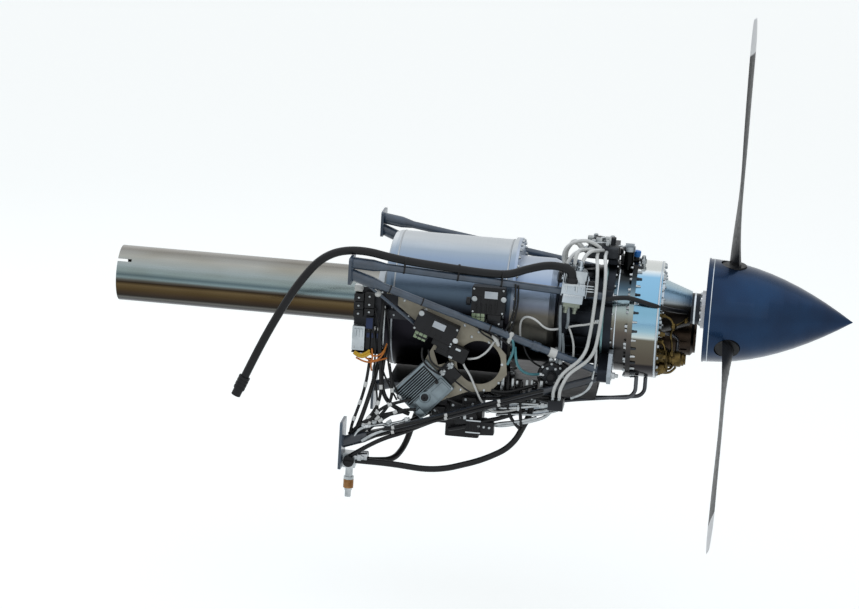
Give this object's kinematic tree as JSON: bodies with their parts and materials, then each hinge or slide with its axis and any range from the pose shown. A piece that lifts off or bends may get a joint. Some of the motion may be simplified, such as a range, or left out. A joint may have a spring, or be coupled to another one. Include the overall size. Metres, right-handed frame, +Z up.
{
  "type": "turboprop engine",
  "caption": "Small turboprop engine with variable-pitch propeller, reduction gearbox, large drum casing, straight exhaust duct and a welded strut mount with firewall feet.",
  "frame": {"origin": "middle of the four firewall bolts, on the plane of the firewall face of the feet", "axes": "+X forward along the flight direction, from the firewall to the propeller; +Z up"},
  "size_m": [2.19, 1.5451, 1.4624],
  "materials": {
    "exhaust_steel": "polished, heat tinted",
    "casing_steel": "satin sheet",
    "hot_alloy": "dull",
    "cast_aluminium": "cast",
    "polished_aluminium": "polished",
    "machined_aluminium": "machined",
    "shaft_steel": "ground",
    "truss_paint": "satin",
    "plated_sheet": "satin",
    "spinner_paint": "gloss",
    "blade_composite": "satin",
    "black_casing": "matte",
    "pump_casting": "cast",
    "bronze_sleeve": "satin",
    "black_rubber": "matte",
    "white_tube": "satin"
  },
  "bodies": {
    "engine": {"accessory_tray": "machined_aluminium", "cable_connector": "black_casing", "centre_housing": "cast_aluminium", "combustor_casing": "casing_steel", "combustor_liner": "hot_alloy", "compressor_cover": "cast_aluminium", "control_unit_lower": "black_casing", "control_unit_upper": "black_casing", "diagonal_strut_left": "truss_paint", "diagonal_strut_right": "truss_paint", "equipment_rail": "machined_aluminium", "exhaust_duct": "exhaust_steel", "finned_regulator": "cast_aluminium", "firewall_feet": "truss_paint", "front_brackets": "machined_aluminium", "fuel_control_unit": "black_casing", "fuel_hoses": "black_rubber", "fuel_pump": "pump_casting", "gearbox_case": "polished_aluminium", "gusset_plate": "plated_sheet", "harness_block": "cast_aluminium", "harness_bracket": "plated_sheet", "harness_relays": "black_casing", "inlet_case": "polished_aluminium", "lower_strut_left": "truss_paint", "lower_strut_right": "truss_paint", "mount_ring": "machined_aluminium", "nose_housing": "cast_aluminium", "oil_pipes": "shaft_steel", "oil_tank": "cast_aluminium", "power_cable": "black_rubber", "propeller_governor": "pump_casting", "quick_coupling": "shaft_steel", "recuperator_casing": "casing_steel", "recuperator_core": "hot_alloy", "shaft_bearings": "shaft_steel", "shutoff_valve": "pump_casting", "starter_generator": "black_casing", "terminal_box": "cast_aluminium", "top_manifold": "cast_aluminium", "upper_strut_left": "truss_paint", "upper_strut_right": "truss_paint", "white_hoses": "white_tube"},
    "propeller": {"propeller_shaft": "shaft_steel", "output_gear": "shaft_steel", "propeller_hub": "machined_aluminium", "spinner_backplate": "polished_aluminium", "spinner_dome": "spinner_paint"},
    "blade_1": {"propeller_blade_1": "blade_composite"},
    "blade_2": {"propeller_blade_2": "blade_composite"},
    "blade_3": {"propeller_blade_3": "blade_composite"},
    "pitch_servo": {"pitch_piston": "shaft_steel"},
    "rotor": {"rotor_shaft": "shaft_steel", "turbine_wheel": "hot_alloy", "compressor_impeller": "polished_aluminium"},
    "countershaft": {"layshaft": "shaft_steel", "layshaft_gear": "shaft_steel"},
    "filler_cap": {"oil_filler_cap": "machined_aluminium"},
    "valve_knob": {"shutoff_knob": "black_casing"},
    "sleeve": {"coupling_sleeve": "bronze_sleeve"}
  },
  "joints": [
    {"name": "propeller_spin", "type": "hinge", "parent": "engine", "child": "propeller", "pos_m": [0.95, 0, 0.152], "axis": [1, 0, 0], "continuous": true},
    {"name": "blade_pitch_1", "type": "hinge", "parent": "propeller", "child": "blade_1", "pos_m": [1.09, 0, 0.152], "axis": [0, -0.0828, 0.9966], "range_deg": [-12.5, 78.5]},
    {"name": "blade_pitch_2", "type": "hinge", "parent": "propeller", "child": "blade_2", "pos_m": [1.09, 0, 0.152], "axis": [0, -0.8216, -0.57], "range_deg": [-12.5, 78.5]},
    {"name": "blade_pitch_3", "type": "hinge", "parent": "propeller", "child": "blade_3", "pos_m": [1.09, 0, 0.152], "axis": [0, 0.9045, -0.4266], "range_deg": [-12.5, 78.5]},
    {"name": "pitch_servo_slide", "type": "slide", "parent": "propeller", "child": "pitch_servo", "axis": [1, 0, 0], "range_m": [-0.00226, 0.01471]},
    {"name": "rotor_spin", "type": "hinge", "parent": "engine", "child": "rotor", "pos_m": [0.6, 0, 0.11], "axis": [1, 0, 0], "continuous": true},
    {"name": "countershaft_spin", "type": "hinge", "parent": "engine", "child": "countershaft", "pos_m": [0.85, 0.07198, 0.11169], "axis": [1, 0, 0], "continuous": true},
    {"name": "filler_cap_turn", "type": "hinge", "parent": "engine", "child": "filler_cap", "pos_m": [0.7825, -0.04, 0.33], "axis": [0, 0, 1], "range_deg": [0, 90]},
    {"name": "shutoff_knob_turn", "type": "hinge", "parent": "engine", "child": "valve_knob", "pos_m": [0.026, -0.34, -0.313], "axis": [0, -1, 0], "range_deg": [0, 90]},
    {"name": "sleeve_slide", "type": "slide", "parent": "engine", "child": "sleeve", "axis": [0, 0, -1], "range_m": [0, 0.006], "stiffness_N_per_m": 1500, "springref_m": -0.002}
  ],
  "couplings": [
    {"joint": "blade_pitch_1", "follows": "pitch_servo_slide", "rad_per_m": 92.56},
    {"joint": "blade_pitch_2", "follows": "pitch_servo_slide", "rad_per_m": 92.56},
    {"joint": "blade_pitch_3", "follows": "pitch_servo_slide", "rad_per_m": 92.56},
    {"joint": "countershaft_spin", "follows": "propeller_spin", "ratio": -4},
    {"joint": "rotor_spin", "follows": "propeller_spin", "ratio": 20}
  ]
}
